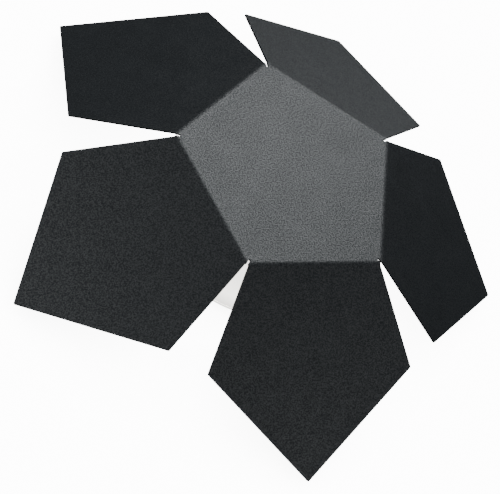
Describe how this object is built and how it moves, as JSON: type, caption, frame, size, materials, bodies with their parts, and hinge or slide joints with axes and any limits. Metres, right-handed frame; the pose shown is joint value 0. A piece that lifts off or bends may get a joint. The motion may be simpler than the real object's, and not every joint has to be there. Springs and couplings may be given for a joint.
{
  "type": "folded sheet wall lamp",
  "caption": "Wall and ceiling lamp: a shade folded from one sheet into a pentagon with five petals, in front of a round base with a light ring.",
  "frame": {"origin": "centre of the wall plate's back face, where the lamp meets the wall", "axes": "+Z away from the wall, square to the shade's front face; +Y towards one corner of the middle pentagon, between two petals; +X completes the right-handed frame"},
  "size_m": [0.3006, 0.2859, 0.068],
  "materials": {
    "anthracite_coat": "fine-textured matt powder coat, anthracite",
    "white_coat": "satin white powder coat",
    "zinc_plate": "zinc-plated steel",
    "spring_steel": "dark spring steel",
    "nickel": "nickel plate",
    "aluminium": "turned aluminium",
    "brass": "turned brass",
    "nylon": "natural nylon",
    "grey_plastic": "light grey polycarbonate",
    "white_plastic": "white polycarbonate",
    "orange_plastic": "orange polyamide",
    "rubber": "black rubber",
    "opal_acrylic": "opal diffusing acrylic",
    "led_board": "white flexible circuit with light-emitting packages",
    "circuit_board": "green circuit board",
    "ferrite": "taped ferrite",
    "brown_insulation": "brown insulation",
    "blue_insulation": "blue insulation",
    "green_insulation": "green and yellow insulation",
    "red_insulation": "red insulation",
    "black_insulation": "black insulation"
  },
  "bodies": {
    "base": {"centre_post": "zinc_plate", "post_washer": "zinc_plate", "post_nut": "zinc_plate", "base_cup": "white_coat", "cup_screw_left": "zinc_plate", "cup_screw_right": "zinc_plate", "led_band": "led_board", "diffuser_ring": "opal_acrylic", "keeper_ring": "opal_acrylic", "wall_plate": "zinc_plate", "cable_grommet": "rubber", "driver_case": "grey_plastic", "driver_cover": "grey_plastic", "driver_screw_left": "zinc_plate", "driver_screw_right": "zinc_plate", "driver_board": "circuit_board", "driver_transformer": "ferrite", "driver_capacitor": "aluminium", "terminal_body": "white_plastic", "lever_pin": "zinc_plate", "earth_screw": "zinc_plate", "earth_washer": "zinc_plate", "earth_lug": "brass", "live_lead": "brown_insulation", "neutral_lead": "blue_insulation", "earth_lead": "green_insulation", "led_lead_plus": "red_insulation", "led_lead_minus": "black_insulation"},
    "collar": {"keyed_collar": "brass", "friction_washer": "spring_steel", "retaining_clip": "spring_steel"},
    "shade": {"folded_shade": "anthracite_coat", "hub_plate": "zinc_plate", "hub_bush": "nylon", "weld_stud_1": "zinc_plate", "weld_stud_2": "zinc_plate", "weld_stud_3": "zinc_plate", "stud_spacer_1": "aluminium", "stud_spacer_2": "aluminium", "stud_spacer_3": "aluminium", "stud_nut_1": "zinc_plate", "stud_nut_2": "zinc_plate", "stud_nut_3": "zinc_plate", "pot_magnet_1": "nickel", "pot_magnet_2": "nickel", "pot_magnet_3": "nickel", "magnet_nut_1": "zinc_plate", "magnet_nut_2": "zinc_plate", "magnet_nut_3": "zinc_plate"},
    "slider": {"cct_slider": "white_plastic"},
    "live_lever_body": {"live_lever": "orange_plastic"},
    "neutral_lever_body": {"neutral_lever": "orange_plastic"},
    "earth_lever_body": {"earth_lever": "orange_plastic"}
  },
  "joints": [
    {"name": "shade_lift", "type": "slide", "parent": "base", "child": "collar", "axis": [0, 0, 1], "range_m": [0, 0.03]},
    {"name": "shade_turn", "type": "hinge", "parent": "collar", "child": "shade", "pos_m": [0, 0, 0.045], "axis": [0, 0, 1], "continuous": true},
    {"name": "cct_slide", "type": "slide", "parent": "base", "child": "slider", "axis": [1, 0, 0], "range_m": [-0.003, 0.003]},
    {"name": "live_lever_turn", "type": "hinge", "parent": "base", "child": "live_lever_body", "pos_m": [-0.01, -0.021, 0.0152], "axis": [-1, 0, 0], "range_deg": [0, 80]},
    {"name": "neutral_lever_turn", "type": "hinge", "parent": "base", "child": "neutral_lever_body", "pos_m": [0, -0.021, 0.0152], "axis": [-1, 0, 0], "range_deg": [0, 80]},
    {"name": "earth_lever_turn", "type": "hinge", "parent": "base", "child": "earth_lever_body", "pos_m": [0.01, -0.021, 0.0152], "axis": [-1, 0, 0], "range_deg": [0, 80]}
  ]
}
